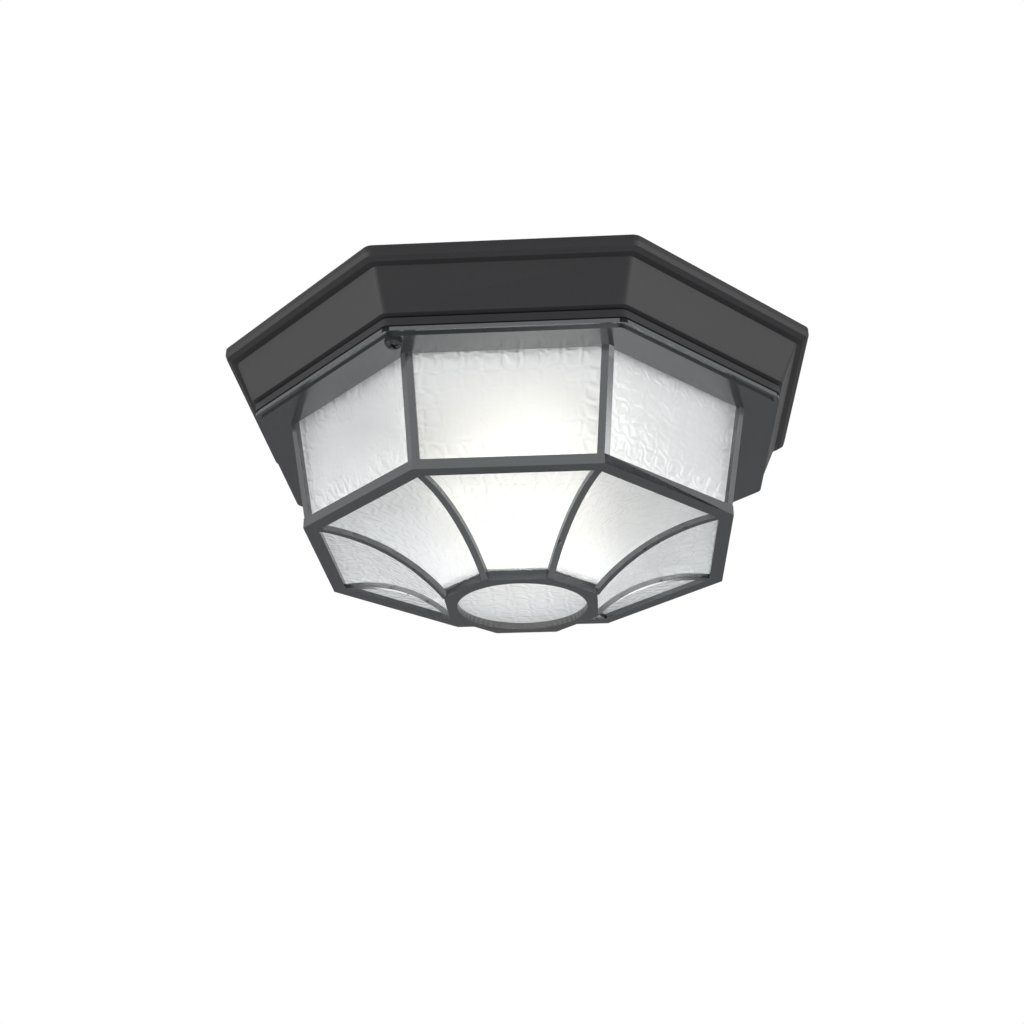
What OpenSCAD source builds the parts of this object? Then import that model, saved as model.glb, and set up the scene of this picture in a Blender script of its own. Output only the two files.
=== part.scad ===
// Porch ceiling lantern: an octagonal cast canopy with a glazed cage below it and two lamps inside.
// Millimetres. Z = 0 is the ceiling, the lantern hangs towards -Z, and one flat faces -Y.
// An apothem is the distance from the axis to a flat side of an octagon.

/* [Canopy] */
// Width of the ceiling rim across its flats
rim_flats = 292; // [280:1:310]
// Corner radius of the ceiling rim, in plan
rim_corner = 6; // [5:0.5:9]
// Height of the straight lip at the ceiling
rim_lip_h = 3; // [2.5:0.5:4]
// Height of the rounding under that lip
round_h = 4.3; // [3.5:0.1:5.5]
// Height of the sloping face
face_h = 17.7; // [16:0.1:20]
// How far the sloping face leans in
face_run = 7.5; // [6:0.5:8]
// Height of the rounding at the foot of that face
heel_h = 2.6; // [2:0.1:3.5]
// Height of the narrow groove under the rounding
groove_h = 1; // [0.8:0.1:2]
// Height of the lower lip
lower_lip_h = 3.8; // [3:0.1:5]
// Wall of the canopy casting
canopy_wall = 3.5; // [3:0.5:4.5]
// Thickness of the canopy floor
floor_t = 3; // [2.5:0.5:4]

/* [Cage] */
// Thickness of the flange
flange_h = 3.2; // [2.8:0.1:4]
// Width across the flats of the glazed body where it meets the flange
body_top_flats = 226; // [220:1:232]
// Width across the flats of the girdle
girdle_flats = 209; // [204:1:214]
// Height of the side windows
window_h = 51; // [44:1:60]
// Height of the girdle's outer face
girdle_h = 5; // [4:0.5:6]
// Depth of the curved bowl below the girdle
bowl_h = 28; // [24:1:34]
// Width across the flats of the bottom ring
hub_flats = 76; // [70:1:84]
// Diameter of the hole in the bottom ring
hub_hole_d = 65.5; // [58:0.5:66]
// Width of each corner post's two faces
post_w = 3.4; // [3:0.1:4.5]
// Thickness of the cast posts
post_t = 2.5; // [2:0.25:3]
// Width of each curved rib
rib_w = 3.4; // [3:0.1:5]
// Depth of each curved rib outside the glass
rib_d = 2.6; // [2:0.1:4.5]
// Thickness of every glass pane
glass_t = 2.5; // [2:0.25:3]

/* [Lamps] */
// Diameter of a lamp's glass bulb
bulb_d = 60; // [45:1:62]
// Length of a lamp from its contact to its tip
lamp_len = 110; // [100:1:114]
// Distance between the two lamp axes
lamp_pitch = 66; // [64:1:72]
// Depth of the lamp axes below the canopy
lamp_drop = 33.5; // [32:0.5:36]
// Distance of a socket's back face from the middle
socket_back = 78; // [74:1:82]

/* [Mounting] */
// Spacing of the strap's outlet box slots
box_spacing = 88.9; // [82:0.1:92]
// Width of those slots
box_slot_w = 4.8; // [4.5:0.1:5.5]
// Length of those slots
box_slot_l = 10; // [8:0.5:11]
// Spacing of the two studs that carry the canopy
stud_spacing = 69.8; // [64:0.1:70]

/* [Hidden] */
$fn = 64;
eps = 0.01;
half_turn = 22.5;
tan8 = tan(half_turn);
cos8 = cos(half_turn);
// Clearances
seat_gap = 0.1;
edge_gap = 0.3;
thread_gap = 0.06;
// Canopy levels, from the ceiling down
z_lip = -rim_lip_h;
z_face_top = z_lip - round_h;
z_face_bot = z_face_top - face_h;
z_heel = z_face_bot - heel_h;
z_groove = z_heel - groove_h;
z_lower_lip = z_groove - lower_lip_h;
floor_rise = 1.9;
z_canopy = z_lower_lip + floor_rise;
z_floor = z_canopy + floor_t;
// Canopy apothems
a_rim = rim_flats / 2;
round_run = 6;
a_face_top = a_rim - round_run;
a_face_bot = a_face_top - face_run;
heel_run = 3;
a_heel = a_face_bot - heel_run;
a_groove = a_heel - 1.7;
a_lower_lip = a_heel + 0.7;
lower_lip_w = 2.5;
a_cavity_top = a_face_top - canopy_wall;
a_cavity_bot = a_groove - 2.2;
face_corner = rim_corner - 1;
lower_corner = 6;
// Ceiling gasket groove
gasket_out = a_rim - 2;
gasket_in = gasket_out - 3.5;
gasket_h = 1.5;
// Cage levels
shadow_gap = 0.6;
z_flange_top = z_lower_lip - shadow_gap;
z_flange = z_flange_top - flange_h;
z_girdle_top = z_flange - window_h;
z_girdle = z_girdle_top - girdle_h;
z_hub = z_girdle - bowl_h;
// Cage apothems
a_flange = a_lower_lip - 0.4;
flange_corner = 5;
step_w = 2.8;
step_h = 1.2;
a_cage_gasket = a_flange - 6.4;
gasket_w = 5;
a_body_top = body_top_flats / 2;
a_girdle = girdle_flats / 2;
a_wall_foot = a_girdle - 0.3;
lean = atan((a_body_top - a_wall_foot) / window_h);
lean_len = window_h / cos(lean);
a_opening = a_body_top + flange_h * tan(lean) - post_t / cos(lean) + 0.2;
a_pane_foot = a_wall_foot - (post_t + glass_t) / cos(lean);
a_bowl_out = a_pane_foot - edge_gap;
a_girdle_in = a_bowl_out - 1.4;
// Bowl curve: an arc in the middle plane of each flat, level at the girdle
a_arc = a_girdle - 3.9;
a_hub = hub_flats / 2;
arc_run = a_arc - a_hub;
z_rib_end = z_hub + 0.2;
arc_drop = z_girdle - z_rib_end;
arc_r = (arc_run * arc_run + arc_drop * arc_drop) / (2 * arc_drop);
z_arc = z_girdle - arc_r;
glass_r = arc_r + rib_d + seat_gap;
rib_steps = 24;
// Bottom ring
hub_r = hub_hole_d / 2;
hub_wall_h = 3.5;
z_disc = z_hub + hub_wall_h;
disc_r = hub_r + 2;
z_hub_top = z_disc + glass_t;
a_bowl_in = a_hub + edge_gap;
// Cage screws, at two opposite corners
screw_r = 2;
screw_at = a_flange / cos8 - 8.1;
screw_turns = [-112.5, 67.5];
screw_thread = 8;
screw_head_r = 3.9;
screw_head_h = 2;
washer_h = 0.5;
boss_r = 5;
cage_boss_r = 5;
boss_h = 14;
cross_w = 1;
cross_l = 4.4;
// Pane clips
clip_t = 0.6;
clip_screw_r = 1.25;
clip_screw_in = 3;
// Lamp sockets
lamp_z = z_canopy - lamp_drop;
socket_r = 19;
socket_len = 36;
socket_wall = 4;
shell_in = 13.35;
shell_out = 13.8;
cap_r = 13.05;
cap_len = 27;
eyelet_at = 8;
bulb_wall = 1;
bracket_t = 1.2;
bracket_w = 26;
foot_len = 22;
foot_hole = 12;
screw_pitch = 16;
small_screw_r = 1.5;
small_head_h = 2;
socket_collar = 8;
contact_r = 2.5;
cap_wall = 0.8;
insulator_len = 4;
insulator_r = 6;
eyelet_h = 1.5;
eyelet_r = 4;
reflector_t = 0.8;
reflector_lip = 0.7;
a_reflector = a_opening - 10;
z_reflector = z_canopy - reflector_t;
z_foot = z_reflector - bracket_t;
// Strap and studs
strap_l = 112;
strap_w = 20;
strap_t = 2;
stud_r = 2.05;
nut_r = 6;
nut_h = 9;
nut_dome_h = 3;
z_stud = z_reflector - nut_h + nut_dome_h + 0.5;
stud_play = 0.5;
slot_w = 1;
ground_head_h = 2.5;
pad_t = 6;
pad_hole_r = 4;
bushing_lip = 1.5;
ground_at = 14;
bushing_at = [0, 20];
bushing_r = 7;
// Colours
black = [0.17, 0.17, 0.18];
cage_grey = [0.25, 0.27, 0.28];
clear = [0.86, 0.88, 0.9, 0.4];
white = [0.93, 0.93, 0.92];
zinc = [0.7, 0.71, 0.72];
rubber = [0.08, 0.08, 0.08];
warm = [1, 0.95, 0.85];
alu = [0.78, 0.78, 0.79];
brass = [0.75, 0.6, 0.3];
porcelain = [0.9, 0.89, 0.86];
wool = [0.85, 0.8, 0.6];
green = [0.1, 0.45, 0.2];

// ---------- shared shapes ----------

// Regular octagon with a flat facing -Y
module octagon(a) {
    rotate(half_turn) circle(r = a / cos8, $fn = 8);
}

// Where a rounded octagon's flat at the given turn meets its corner arc
function flat_end(a, corner, turn, side) = [
    a * cos(turn) - side * (a - corner) * tan8 * sin(turn),
    a * sin(turn) + side * (a - corner) * tan8 * cos(turn)];

// The same octagon with rounded corners
module round_octagon(a, corner) {
    polygon([for (k = [0:7]) for (side = [-1, 1]) flat_end(a, corner, 45 * k, side)]);
    for (k = [0:7]) {
        rotate(half_turn + 45 * k) translate([(a - corner) / cos8, 0]) circle(r = corner);
    }
}

module slab(z_low, z_high) {
    translate([0, 0, z_low]) linear_extrude(z_high - z_low) children();
}

// Tapering tier between two rounded octagons
module tier(z_low, a_low, c_low, z_high, a_high, c_high) {
    hull() {
        slab(z_low, z_low + eps) round_octagon(a_low, c_low);
        slab(z_high - eps, z_high) round_octagon(a_high, c_high);
    }
}

// Octagonal ring
module octagon_ring(z_low, z_high, a_in, a_out) {
    slab(z_low, z_high) difference() {
        octagon(a_out);
        octagon(a_in);
    }
}

// Sheet standing in the leaning plane of a side window; shape is drawn as [across, up]
module leaning_sheet(depth, thick) {
    translate([0, -a_wall_foot, z_girdle_top]) rotate([lean, 0, 0]) translate([0, depth + thick, 0])
        rotate([90, 0, 0]) linear_extrude(thick) children();
}

// Half the width of the leaning wall at a height up its face
function wall_half(up) = (a_wall_foot + up * sin(lean)) * tan8;

module at_corner_screw(k) {
    rotate([0, 0, screw_turns[k]]) translate([screw_at, 0, 0]) children();
}

// Place a socket or lamp piece, drawn along +X from the socket's back face
module at_lamp(side) {
    rotate([0, 0, side > 0 ? 180 : 0]) translate([-socket_back, -lamp_pitch / 2, lamp_z]) children();
}

// Round piece along +X
module round_x(x0, x1, r0, r1) {
    translate([x0, 0, 0]) rotate([0, 90, 0]) cylinder(h = x1 - x0, r1 = r0, r2 = r1);
}

// ---------- canopy and mounting ----------

// Rounding that turns in under an edge, in equal steps of a quarter turn
module turned_edge(z, a, corner, high, run, steps) {
    for (t = [0:90 / steps:89]) {
        low_t = t + 90 / steps;
        tier(z - high * sin(low_t), a - run * (1 - cos(low_t)), corner,
            z - high * sin(t) + eps, a - run * (1 - cos(t)), corner);
    }
}

module canopy_body() {
    slab(z_lip, 0) round_octagon(a_rim, rim_corner);
    turned_edge(z_lip, a_rim, rim_corner, round_h, round_run, 3);
    tier(z_face_bot, a_face_bot, face_corner, z_face_top + eps, a_face_top, face_corner);
    turned_edge(z_face_bot, a_face_bot, face_corner, heel_h, heel_run, 2);
    slab(z_groove - eps, z_heel + eps) round_octagon(a_groove, lower_corner);
    difference() {
        slab(z_lower_lip, z_groove) round_octagon(a_lower_lip, lower_corner);
        slab(z_lower_lip - 1, z_canopy) round_octagon(a_lower_lip - lower_lip_w, lower_corner - lower_lip_w);
    }
}

module canopy() {
    color(black) difference() {
        union() {
            difference() {
                canopy_body();
                hull() {
                    slab(z_floor, z_floor + eps) octagon(a_cavity_bot);
                    slab(z_face_top, 1) octagon(a_cavity_top);
                }
            }
            for (k = [0, 1]) {
                at_corner_screw(k) slab(z_canopy, z_canopy + boss_h) circle(r = boss_r);
            }
        }
        slab(-gasket_h, 1) difference() {
            octagon(gasket_out);
            octagon(gasket_in);
        }
        for (k = [0, 1]) {
            at_corner_screw(k) slab(z_canopy - 1, z_canopy + boss_h - 2) circle(r = screw_r + thread_gap);
        }
        floor_holes();
    }
}

// Holes in the floor and the reflector for the studs, the wire bushing and the bracket screws
module floor_holes() {
    slab(z_reflector - 2, z_floor + 1) {
        for (side = [-1, 1]) {
            translate([side * stud_spacing / 2, 0]) circle(r = stud_r + stud_play);
            bracket_screw_places(side) circle(r = small_screw_r + thread_gap);
        }
        translate(bushing_at) circle(r = bushing_r + seat_gap);
    }
}

module bracket_screw_places(side) {
    for (across = [-1, 1]) {
        rotate([0, 0, side > 0 ? 180 : 0])
            translate([foot_hole - socket_back, across * screw_pitch / 2 - lamp_pitch / 2, 0]) children();
    }
}

module ceiling_gasket() {
    color(rubber) octagon_ring(-gasket_h, 0, gasket_in + seat_gap, gasket_out - seat_gap);
}

module mounting_strap() {
    color(zinc) slab(-strap_t, 0) difference() {
        square([strap_l, strap_w], center = true);
        for (side = [-1, 1]) {
            translate([side * box_spacing / 2, 0]) {
                square([box_slot_l - box_slot_w, box_slot_w], center = true);
                for (end = [-1, 1]) {
                    translate([end * (box_slot_l - box_slot_w) / 2, 0]) circle(d = box_slot_w);
                }
            }
            translate([side * stud_spacing / 2, 0]) circle(r = stud_r + thread_gap);
        }
        translate([ground_at, 0]) circle(r = stud_r + thread_gap);
    }
}
module mounting_studs() {
    color(zinc) for (side = [-1, 1]) {
        translate([side * stud_spacing / 2, 0]) slab(z_stud, 0) circle(r = stud_r);
    }
}

module cap_nuts() {
    color(alu) for (side = [-1, 1]) {
        translate([side * stud_spacing / 2, 0, z_reflector - nut_h]) difference() {
            union() {
                translate([0, 0, nut_dome_h]) cylinder(h = nut_h - nut_dome_h, r = nut_r, $fn = 6);
                cylinder(h = nut_dome_h + eps, r1 = nut_r / 2, r2 = nut_r * cos(30));
            }
            translate([0, 0, nut_dome_h]) cylinder(h = nut_h, r = stud_r + thread_gap);
        }
    }
}

module ground_screw() {
    color(green) translate([ground_at, 0, 0]) {
        translate([0, 0, -strap_t - ground_head_h]) difference() {
            cylinder(h = ground_head_h, r = 2 * stud_r);
            translate([-3 * stud_r, -slot_w / 2, -1]) cube([6 * stud_r, slot_w, 1 + ground_head_h / 2]);
        }
        translate([0, 0, -strap_t - eps]) cylinder(h = strap_t, r = stud_r);
    }
}

module insulation_pad() {
    color(wool) slab(z_floor + seat_gap, z_floor + pad_t) difference() {
        octagon(a_cavity_bot - 8);
        for (side = [-1, 1]) {
            translate([side * stud_spacing / 2, 0]) circle(r = pad_hole_r);
            bracket_screw_places(side) circle(r = pad_hole_r);
        }
        translate(bushing_at) circle(r = bushing_r + pad_hole_r);
        for (k = [0, 1]) {
            at_corner_screw(k) circle(r = boss_r + 1);
        }
    }
}

module wire_bushing() {
    top = z_floor + bushing_lip;
    low = z_reflector - bushing_lip;
    color(rubber) translate(bushing_at) difference() {
        union() {
            slab(low, top) circle(r = bushing_r);
            slab(z_floor + seat_gap, top) circle(r = bushing_r + bushing_lip);
            slab(low, z_reflector - seat_gap) circle(r = bushing_r + bushing_lip);
        }
        slab(low - 1, top + 1) circle(r = bushing_r - 2);
    }
}

module reflector_plate() {
    color(white) difference() {
        union() {
            slab(z_reflector, z_canopy) octagon(a_reflector);
            octagon_ring(z_reflector - reflector_lip, z_canopy, a_reflector - reflector_t, a_reflector);
        }
        floor_holes();
    }
}

// ---------- sockets and lamps ----------

module socket_bracket(side) {
    below_axis = 12;
    foot_top = lamp_drop - reflector_t;
    color(zinc) at_lamp(side) difference() {
        union() {
            translate([-bracket_t, -bracket_w / 2, -below_axis])
                cube([bracket_t, bracket_w, foot_top + below_axis]);
            translate([-bracket_t, -bracket_w / 2, foot_top - bracket_t])
                cube([foot_len, bracket_w, bracket_t]);
        }
        for (across = [-1, 1]) {
            translate([foot_hole, across * screw_pitch / 2, foot_top - 2 * bracket_t])
                cylinder(h = 3 * bracket_t, r = small_screw_r + edge_gap);
            translate([0, across * screw_pitch / 2, 0])
                round_x(-2 * bracket_t, 1, small_screw_r + edge_gap, small_screw_r + edge_gap);
        }
    }
}

module bracket_screws() {
    color(zinc) for (side = [-1, 1]) {
        bracket_screw_places(side) {
            slab(z_foot - small_head_h, z_foot) circle(r = 2 * small_screw_r);
            slab(z_foot - eps, z_floor + 1) circle(r = small_screw_r);
        }
    }
}

module lamp_socket(side) {
    color(porcelain) at_lamp(side) difference() {
        union() {
            round_x(0, socket_len - socket_collar, socket_r, socket_r);
            round_x(socket_len - socket_collar - eps, socket_len, socket_r - 2, socket_r - 2);
        }
        round_x(socket_wall, socket_len + 1, shell_out + seat_gap, shell_out + seat_gap);
        for (across = [-1, 1]) {
            translate([0, across * screw_pitch / 2, 0])
                round_x(-1, socket_wall + 1, small_screw_r + thread_gap, small_screw_r + thread_gap);
        }
    }
}

module screw_shell(side) {
    color(brass) at_lamp(side) difference() {
        round_x(socket_wall + 3, socket_len - 2, shell_out, shell_out);
        round_x(socket_wall, socket_len, shell_in, shell_in);
    }
}

module centre_contact(side) {
    color(brass) at_lamp(side) {
        round_x(socket_wall, socket_wall + 1, 2 * contact_r, 2 * contact_r);
        round_x(socket_wall + 1 - eps, eyelet_at - seat_gap, contact_r, contact_r);
    }
}

module socket_screws() {
    color(zinc) for (side = [-1, 1]) {
        at_lamp(side) for (across = [-1, 1]) {
            translate([0, across * screw_pitch / 2, 0]) {
                round_x(-bracket_t - small_head_h, -bracket_t, 2 * small_screw_r, 2 * small_screw_r);
                round_x(-bracket_t - eps, socket_wall - 0.5, small_screw_r, small_screw_r);
            }
        }
    }
}

// Half section of a bulb: a cone from the cap that meets the ball smoothly
module bulb_solid(shrink) {
    ball_r = bulb_d / 2;
    ball_x = eyelet_at + lamp_len - ball_r;
    neck_x = eyelet_at + cap_len;
    neck_r = cap_r - shrink;
    reach = norm([ball_x - neck_x, cap_r]);
    meet = 180 - atan(cap_r / (ball_x - neck_x)) - acos(ball_r / reach);
    r = ball_r - shrink;
    translate([ball_x, 0, 0]) sphere(r = r);
    round_x(neck_x - (shrink > 0 ? 1 : 0), ball_x + r * cos(meet), neck_r, r * sin(meet) - seat_gap);
}

module lamp_bulb(side) {
    color(warm) at_lamp(side) difference() {
        bulb_solid(0);
        bulb_solid(bulb_wall);
    }
}

module lamp_cap(side) {
    color(alu) at_lamp(side) difference() {
        round_x(eyelet_at + insulator_len, eyelet_at + cap_len, cap_r, cap_r);
        round_x(eyelet_at + insulator_len + 1, eyelet_at + cap_len + 1, cap_r - cap_wall, cap_r - cap_wall);
        round_x(eyelet_at, eyelet_at + insulator_len + 2, insulator_r, insulator_r);
    }
}

module lamp_eyelet(side) {
    color(rubber) at_lamp(side) {
        round_x(eyelet_at, eyelet_at + eyelet_h + eps, eyelet_r, eyelet_r);
        round_x(eyelet_at + eyelet_h, eyelet_at + insulator_len, insulator_r, cap_r - 2);
        round_x(eyelet_at + insulator_len - eps, eyelet_at + insulator_len + 1, insulator_r - seat_gap,
            insulator_r - seat_gap);
    }
}

// ---------- cage ----------

// Outer face of one side: two half posts and the open window between them
module window_frame() {
    up = lean_len + 2;
    leaning_sheet(0, post_t) difference() {
        polygon([[-wall_half(-1), -1], [wall_half(-1), -1], [wall_half(up), up], [-wall_half(up), up]]);
        polygon([[post_w - wall_half(-2), -2], [wall_half(-2) - post_w, -2],
            [wall_half(up + 1) - post_w, up + 1], [post_w - wall_half(up + 1), up + 1]]);
    }
}

// Point on the bowl's corner line, at a radius of its arc and an angle from the girdle
function corner_point(r, angle) = [(a_arc - r * sin(angle)) / cos8, z_arc + r * cos(angle)];

// One curved rib, in the upright plane of a corner
module rib() {
    rib_end = (a_hub - 2) / cos8;
    low_end = asin(arc_run / arc_r);
    top_end = asin((arc_run + 1.8) / (arc_r + rib_d));
    rotate([90, 0, 0]) linear_extrude(rib_w, center = true) polygon(concat(
        [[(a_girdle - 2) / cos8, z_girdle], [(a_girdle - 2) / cos8, z_girdle + rib_d]],
        [for (i = [0:rib_steps]) corner_point(arc_r + rib_d, top_end * i / rib_steps)],
        [[rib_end, z_disc], [rib_end, z_rib_end]],
        [for (i = [rib_steps:-1:0]) corner_point(arc_r, low_end * i / rib_steps)]));
}

module cage_flange() {
    difference() {
        union() {
            slab(z_flange + step_h, z_flange_top) round_octagon(a_flange, flange_corner);
            slab(z_flange, z_flange + step_h + eps) round_octagon(a_flange - step_w, flange_corner - 1);
            for (k = [0, 1]) {
                at_corner_screw(k) slab(z_flange_top - eps, z_canopy - 0.2) circle(r = cage_boss_r);
            }
        }
        slab(z_flange - 1, z_flange_top + 1) octagon(a_opening);
        for (k = [0, 1]) {
            at_corner_screw(k) slab(z_flange - 1, z_canopy + 1) circle(r = screw_r + edge_gap);
        }
        clip_places() slab(z_flange + 0.5, z_flange_top + 1) circle(r = clip_screw_r + thread_gap);
    }
}

module hub_ring() {
    difference() {
        slab(z_hub, z_hub_top) octagon(a_hub);
        slab(z_hub - 1, z_hub_top + 1) circle(r = hub_r);
        slab(z_disc, z_hub_top + 1) circle(r = disc_r + 0.4);
    }
}

module cage() {
    color(cage_grey) {
        cage_flange();
        for (k = [0:7]) {
            rotate([0, 0, 45 * k]) window_frame();
            rotate([0, 0, half_turn + 45 * k]) rib();
        }
        octagon_ring(z_girdle, z_girdle + rib_d, a_girdle_in, a_girdle);
        octagon_ring(z_girdle + rib_d - eps, z_girdle_top, a_pane_foot - seat_gap, a_girdle);
        hub_ring();
    }
}

module cage_gasket() {
    color(rubber) slab(z_flange_top, z_canopy) difference() {
        intersection() {
            octagon(a_cage_gasket);
            union() {
                difference() {
                    octagon(a_cage_gasket);
                    octagon(a_cage_gasket - gasket_w);
                }
                for (k = [0, 1]) {
                    at_corner_screw(k) circle(r = cage_boss_r + edge_gap + 2.5);
                }
            }
        }
        for (k = [0, 1]) {
            at_corner_screw(k) circle(r = cage_boss_r + edge_gap);
        }
    }
}

module side_pane(k) {
    low = seat_gap;
    high = (z_flange_top - z_girdle_top) / cos(lean) - (post_t + glass_t) * tan(lean) - seat_gap;
    inset = (post_t + glass_t) * tan8 / cos(lean) + edge_gap;
    color(clear) rotate([0, 0, 45 * k]) leaning_sheet(post_t + seat_gap / 2, glass_t)
        polygon([[inset - wall_half(low), low], [wall_half(low) - inset, low],
            [wall_half(high) - inset, high], [inset - wall_half(high), high]]);
}

module bowl_pane(k) {
    half_out = a_bowl_out * tan8 - edge_gap;
    half_in = a_bowl_in * tan8 - edge_gap;
    color(clear) rotate([0, 0, 45 * k]) intersection() {
        translate([0, -a_arc, z_arc]) rotate([0, 90, 0]) difference() {
            cylinder(h = 2 * a_arc, r = glass_r + glass_t, center = true, $fn = 180);
            cylinder(h = 3 * a_arc, r = glass_r, center = true, $fn = 180);
        }
        slab(z_hub, z_girdle_top + 10) polygon([[-half_out, -a_bowl_out], [half_out, -a_bowl_out],
            [half_in, -a_bowl_in], [-half_in, -a_bowl_in]]);
    }
}

module bottom_pane() {
    color(clear) slab(z_disc + seat_gap / 2, z_disc + glass_t) circle(r = disc_r);
}

// Top middle of each side, over the flange
module clip_places() {
    for (k = [0:7]) {
        rotate([0, 0, 45 * k]) translate([0, -a_opening - clip_screw_in, 0]) children();
    }
}

module pane_clips() {
    clip_w = 10;
    clip_back = a_opening + 2 * clip_screw_in;
    a_tongue = a_opening - glass_t / cos(lean) - 2 * clip_t - edge_gap;
    color(zinc) difference() {
        for (k = [0:7]) {
            rotate([0, 0, 45 * k]) {
                translate([-clip_w / 2, -clip_back, z_flange_top])
                    cube([clip_w, clip_back - a_tongue, clip_t]);
                translate([-clip_w / 2, -a_tongue - clip_t, z_flange_top - 3])
                    cube([clip_w, clip_t, 3 + clip_t]);
            }
        }
        clip_places() slab(z_flange_top - 1, z_flange_top + 1) circle(r = clip_screw_r + edge_gap);
    }
}

module clip_screws() {
    color(zinc) clip_places() {
        slab(z_flange_top + clip_t, z_flange_top + clip_t + 1.2) circle(r = clip_screw_r + 1);
        slab(z_flange + 1, z_flange_top + clip_t + eps) circle(r = clip_screw_r);
    }
}

module cage_screw(k) {
    color(cage_grey) at_corner_screw(k) translate([0, 0, z_flange - washer_h]) difference() {
        union() {
            translate([0, 0, -screw_head_h])
                cylinder(h = screw_head_h / 2, r1 = screw_head_r - 0.8, r2 = screw_head_r);
            translate([0, 0, -screw_head_h / 2 - eps]) cylinder(h = screw_head_h / 2 + eps, r = screw_head_r);
            translate([0, 0, -eps]) cylinder(h = washer_h + z_canopy - z_flange + screw_thread, r = screw_r);
        }
        for (turn = [0, 90]) {
            rotate([0, 0, turn]) translate([-cross_l / 2, -cross_w / 2, -screw_head_h - 1])
                cube([cross_l, cross_w, 1.6 + screw_head_h / 4]);
        }
    }
}

module screw_washer(k) {
    color(rubber) at_corner_screw(k) slab(z_flange - washer_h, z_flange) difference() {
        circle(r = screw_head_r + 0.2);
        circle(r = screw_r + thread_gap);
    }
}

canopy();
ceiling_gasket();
mounting_strap();
mounting_studs();
cap_nuts();
ground_screw();
insulation_pad();
wire_bushing();
reflector_plate();
socket_bracket(-1);  // left_socket_bracket
socket_bracket(1);  // right_socket_bracket
bracket_screws();
lamp_socket(-1);  // left_socket
lamp_socket(1);  // right_socket
screw_shell(-1);  // left_screw_shell
screw_shell(1);  // right_screw_shell
centre_contact(-1);  // left_centre_contact
centre_contact(1);  // right_centre_contact
socket_screws();
lamp_bulb(-1);  // left_bulb
lamp_bulb(1);  // right_bulb
lamp_cap(-1);  // left_lamp_cap
lamp_cap(1);  // right_lamp_cap
lamp_eyelet(-1);  // left_lamp_eyelet
lamp_eyelet(1);  // right_lamp_eyelet
cage();
cage_gasket();
side_pane(0);  // side_pane_1
side_pane(1);  // side_pane_2
side_pane(2);  // side_pane_3
side_pane(3);  // side_pane_4
side_pane(4);  // side_pane_5
side_pane(5);  // side_pane_6
side_pane(6);  // side_pane_7
side_pane(7);  // side_pane_8
bowl_pane(0);  // bowl_pane_1
bowl_pane(1);  // bowl_pane_2
bowl_pane(2);  // bowl_pane_3
bowl_pane(3);  // bowl_pane_4
bowl_pane(4);  // bowl_pane_5
bowl_pane(5);  // bowl_pane_6
bowl_pane(6);  // bowl_pane_7
bowl_pane(7);  // bowl_pane_8
bottom_pane();
pane_clips();
clip_screws();
cage_screw(0);  // front_cage_screw
cage_screw(1);  // rear_cage_screw
screw_washer(0);  // front_screw_washer
screw_washer(1);  // rear_screw_washer
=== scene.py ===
"""Porch ceiling lantern: glass, coats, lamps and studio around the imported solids.

Metres. The ceiling is the plane Z = 0 and one flat side faces -Y.
"""

import math

import bpy
import numpy as np
from mathutils import Matrix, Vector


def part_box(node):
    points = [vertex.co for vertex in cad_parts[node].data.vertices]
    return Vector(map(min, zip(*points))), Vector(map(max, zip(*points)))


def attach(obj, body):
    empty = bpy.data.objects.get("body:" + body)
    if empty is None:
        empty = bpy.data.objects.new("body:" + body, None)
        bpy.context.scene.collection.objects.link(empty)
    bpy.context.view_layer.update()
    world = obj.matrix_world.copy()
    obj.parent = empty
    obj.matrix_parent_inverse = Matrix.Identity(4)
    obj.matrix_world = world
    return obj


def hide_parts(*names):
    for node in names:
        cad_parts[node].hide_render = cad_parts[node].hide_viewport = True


bl_info = {
    "name": "Porch Ceiling Lantern",
    "version": (1, 0, 0),
    "blender": (4, 5, 0),
    "location": "3D View > Sidebar > Lantern",
    "description": "Dresses an octagonal porch ceiling lantern with rippled glass, coats and lit lamps",
    "category": "Object",
}

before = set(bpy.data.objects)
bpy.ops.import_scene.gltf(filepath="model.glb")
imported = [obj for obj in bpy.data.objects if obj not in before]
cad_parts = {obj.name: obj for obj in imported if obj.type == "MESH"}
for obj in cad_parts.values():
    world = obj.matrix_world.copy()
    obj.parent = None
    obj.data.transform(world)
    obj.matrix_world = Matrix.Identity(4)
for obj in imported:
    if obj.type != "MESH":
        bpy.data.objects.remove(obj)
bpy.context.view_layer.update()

MM = 0.001
TAU = 2 * math.pi
SIDES = 8
SHARP_EDGE = math.radians(35)
BEVELLED_EDGE = math.radians(28)
BOX_SLACK = 0.6 * MM
# Name of the attribute that holds the lamp light painted into each point of glass, from 0 to 1
PAINTED_LIGHT = "lit"
# Strength of the glow that paints lamp light into the glass, which is no lamp itself
GLASS_PAINTED_GLOW = 0.22
LAMP_GLOW = 0.5
# Shares of the lamp light painted into the glass: everywhere, from the bulbs, and as painted highlight and
# shade on the slopes of the ripples
EVEN_PAINTED_LIGHT = 0.38
BULB_PAINTED_LIGHT = 0.25
SLOPE_PAINTED_LIGHT = 1.1
# Seeds of the panes' ripples
SIDE_SEED = 100
BOWL_SEED = 200
BOTTOM_SEED = 300
# Step at which a ripple's slope is taken, in ripple pitches
SLOPE_STEP = 0.12


# ---------- numbers a user would change ----------


def measure(name, description, value, least=0.0):
    return bpy.props.FloatProperty(
        name=name, description=description, default=value, min=least, subtype="DISTANCE"
    )


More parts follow.
